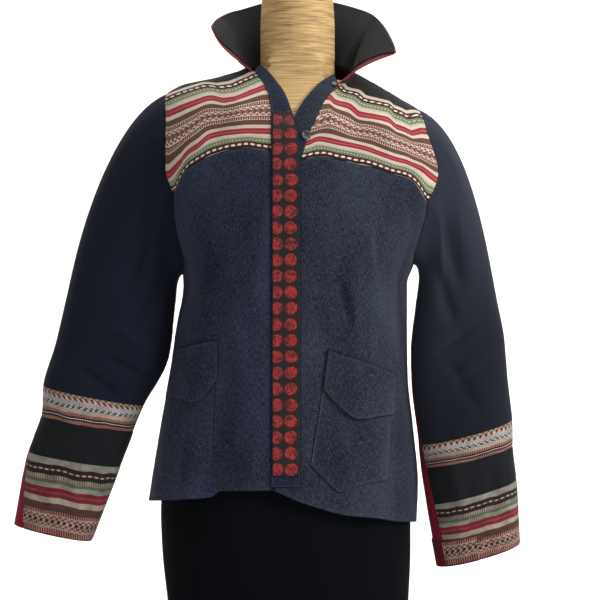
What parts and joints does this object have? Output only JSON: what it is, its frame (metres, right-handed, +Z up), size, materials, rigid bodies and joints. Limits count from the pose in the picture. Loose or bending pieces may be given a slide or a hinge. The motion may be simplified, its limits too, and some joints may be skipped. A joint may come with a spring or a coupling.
{
  "type": "hmong embroidered jacket on a dress form",
  "caption": "Denim jacket with striped yokes, stand collar, flapped pockets and banded two-piece sleeves, worn on a limbless dress form.",
  "frame": {"origin": "middle of the dress form's flat foot, under the jacket's neck", "axes": "+Z up, the jacket's front faces -Y, the wearer's right is at -X"},
  "size_m": [0.7343, 0.2655, 0.941],
  "materials": {
    "form_body": "smooth dark jersey",
    "form_neck": "wound straw fibre",
    "front_right": "worn indigo denim",
    "front_left": "worn indigo denim",
    "yoke_right": "striped woven and cross-stitched cloth",
    "yoke_left": "striped woven and cross-stitched cloth",
    "back_body": "worn indigo denim",
    "back_yoke": "striped woven and cross-stitched cloth",
    "placket_right": "worn indigo denim",
    "dot_strip": "black cloth with red dots",
    "button_stand_left": "worn indigo denim",
    "pocket_right": "worn indigo denim",
    "pocket_left": "worn indigo denim",
    "flap_right": "worn indigo denim",
    "flap_left": "worn indigo denim",
    "collar_outer": "dark red patterned cotton",
    "collar_inner": "black cotton",
    "under_sleeve_right": "burgundy cotton",
    "under_sleeve_left": "burgundy cotton",
    "sleeve_right": "navy cotton",
    "sleeve_left": "navy cotton",
    "sleeve_band_right": "embroidered band",
    "sleeve_band_left": "embroidered band",
    "sleeve_dark_band_right": "black cotton",
    "sleeve_dark_band_left": "black cotton",
    "cuff_right": "striped woven and cross-stitched cloth",
    "cuff_left": "striped woven and cross-stitched cloth",
    "cuff_turn_up_left": "burgundy and striped cloth turned back",
    "button": "smoky clear plastic",
    "snap": "smoky plastic"
  },
  "bodies": {
    "root": {"form_body": "form_body", "form_neck": "form_neck", "front_right": "front_right", "front_left": "front_left", "yoke_right": "yoke_right", "yoke_left": "yoke_left", "back_body": "back_body", "back_yoke": "back_yoke", "placket_right": "placket_right", "dot_strip": "dot_strip", "button_stand_left": "button_stand_left", "pocket_right": "pocket_right", "pocket_left": "pocket_left", "flap_right": "flap_right", "flap_left": "flap_left", "collar_outer": "collar_outer", "collar_inner": "collar_inner", "under_sleeve_right": "under_sleeve_right", "under_sleeve_left": "under_sleeve_left", "sleeve_right": "sleeve_right", "sleeve_left": "sleeve_left", "sleeve_band_right": "sleeve_band_right", "sleeve_band_left": "sleeve_band_left", "sleeve_dark_band_right": "sleeve_dark_band_right", "sleeve_dark_band_left": "sleeve_dark_band_left", "cuff_right": "cuff_right", "cuff_left": "cuff_left", "cuff_turn_up_left": "cuff_turn_up_left", "button": "button", "snap": "snap"}
  },
  "joints": []
}
